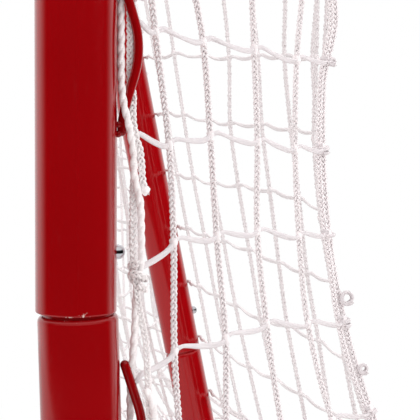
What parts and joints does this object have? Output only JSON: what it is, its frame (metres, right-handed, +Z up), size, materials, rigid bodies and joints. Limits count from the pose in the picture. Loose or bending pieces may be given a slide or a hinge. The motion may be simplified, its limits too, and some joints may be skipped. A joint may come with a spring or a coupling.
{
  "type": "street hockey goal net",
  "caption": "Free-standing hockey goal: red steel tube frame with snap-button joints, zigzag lacing rods and a white knotted net over a sloping rear bar.",
  "frame": {"origin": "on the ground on the goal line, midway between the posts", "axes": "+X along the mouth to the right post, +Y to the rear, +Z up"},
  "size_m": [1.258, 0.492, 0.914],
  "materials": {
    "frame": "glossy red powder coat",
    "button": "polished",
    "clip": "spring steel",
    "net": "braided white twine",
    "lacing": "braided white cord"
  },
  "bodies": {
    "frame": {"crossbar": "frame", "post_upper_left": "frame", "post_upper_right": "frame", "post_lower_left": "frame", "post_lower_right": "frame", "base_rail_left": "frame", "base_rail_right": "frame", "rear_rail": "frame", "centre_bar_upper": "frame", "centre_bar_lower": "frame", "lacing_rod_crossbar": "frame", "lacing_rod_upper_left": "frame", "lacing_rod_upper_right": "frame", "lacing_rod_lower_left": "frame", "lacing_rod_lower_right": "frame", "lacing_rod_base_left": "frame", "lacing_rod_base_right": "frame", "lacing_rod_rear": "frame", "spring_clips": "clip", "lacing_cord_left": "lacing", "lacing_cord_right": "lacing", "lacing_cord_top": "lacing", "lacing_cord_base_left": "lacing", "lacing_cord_base_right": "lacing", "lacing_cord_rear": "lacing", "net_side_left": "net", "net_side_right": "net", "net_back": "net"},
    "button_post_right": {"button_post_right": "button"},
    "button_corner_right": {"button_corner_right": "button"},
    "button_foot_right": {"button_foot_right": "button"},
    "button_rear_right": {"button_rear_right": "button"},
    "button_post_left": {"button_post_left": "button"},
    "button_corner_left": {"button_corner_left": "button"},
    "button_foot_left": {"button_foot_left": "button"},
    "button_rear_left": {"button_rear_left": "button"},
    "button_bar_top": {"button_bar_top": "button"},
    "button_bar_middle": {"button_bar_middle": "button"},
    "button_bar_foot": {"button_bar_foot": "button"}
  },
  "joints": [
    {"name": "post_right_press", "type": "slide", "parent": "frame", "child": "button_post_right", "axis": [0, -0.9996, -0.0297], "range_m": [0, 0.0057], "stiffness_N_per_m": 1500, "springref_m": -0.002},
    {"name": "corner_right_press", "type": "slide", "parent": "frame", "child": "button_corner_right", "axis": [0, -1, 0], "range_m": [0, 0.0057], "stiffness_N_per_m": 1500, "springref_m": -0.002},
    {"name": "foot_right_press", "type": "slide", "parent": "frame", "child": "button_foot_right", "axis": [0, -1, 0], "range_m": [0, 0.0057], "stiffness_N_per_m": 1500, "springref_m": -0.002},
    {"name": "rear_right_press", "type": "slide", "parent": "frame", "child": "button_rear_right", "axis": [0, -1, 0], "range_m": [0, 0.0057], "stiffness_N_per_m": 1500, "springref_m": -0.002},
    {"name": "post_left_press", "type": "slide", "parent": "frame", "child": "button_post_left", "axis": [0, -0.9996, -0.0297], "range_m": [0, 0.0057], "stiffness_N_per_m": 1500, "springref_m": -0.002},
    {"name": "corner_left_press", "type": "slide", "parent": "frame", "child": "button_corner_left", "axis": [0, -1, 0], "range_m": [0, 0.0057], "stiffness_N_per_m": 1500, "springref_m": -0.002},
    {"name": "foot_left_press", "type": "slide", "parent": "frame", "child": "button_foot_left", "axis": [0, -1, 0], "range_m": [0, 0.0057], "stiffness_N_per_m": 1500, "springref_m": -0.002},
    {"name": "rear_left_press", "type": "slide", "parent": "frame", "child": "button_rear_left", "axis": [0, -1, 0], "range_m": [0, 0.0057], "stiffness_N_per_m": 1500, "springref_m": -0.002},
    {"name": "bar_top_press", "type": "slide", "parent": "frame", "child": "button_bar_top", "axis": [0, -0.9806, -0.1959], "range_m": [0, 0.0057], "stiffness_N_per_m": 1500, "springref_m": -0.002},
    {"name": "bar_middle_press", "type": "slide", "parent": "frame", "child": "button_bar_middle", "axis": [0, -0.9806, -0.1959], "range_m": [0, 0.0057], "stiffness_N_per_m": 1500, "springref_m": -0.002},
    {"name": "bar_foot_press", "type": "slide", "parent": "frame", "child": "button_bar_foot", "axis": [0, -0.4316, -0.9021], "range_m": [0, 0.0057], "stiffness_N_per_m": 1500, "springref_m": -0.002}
  ]
}
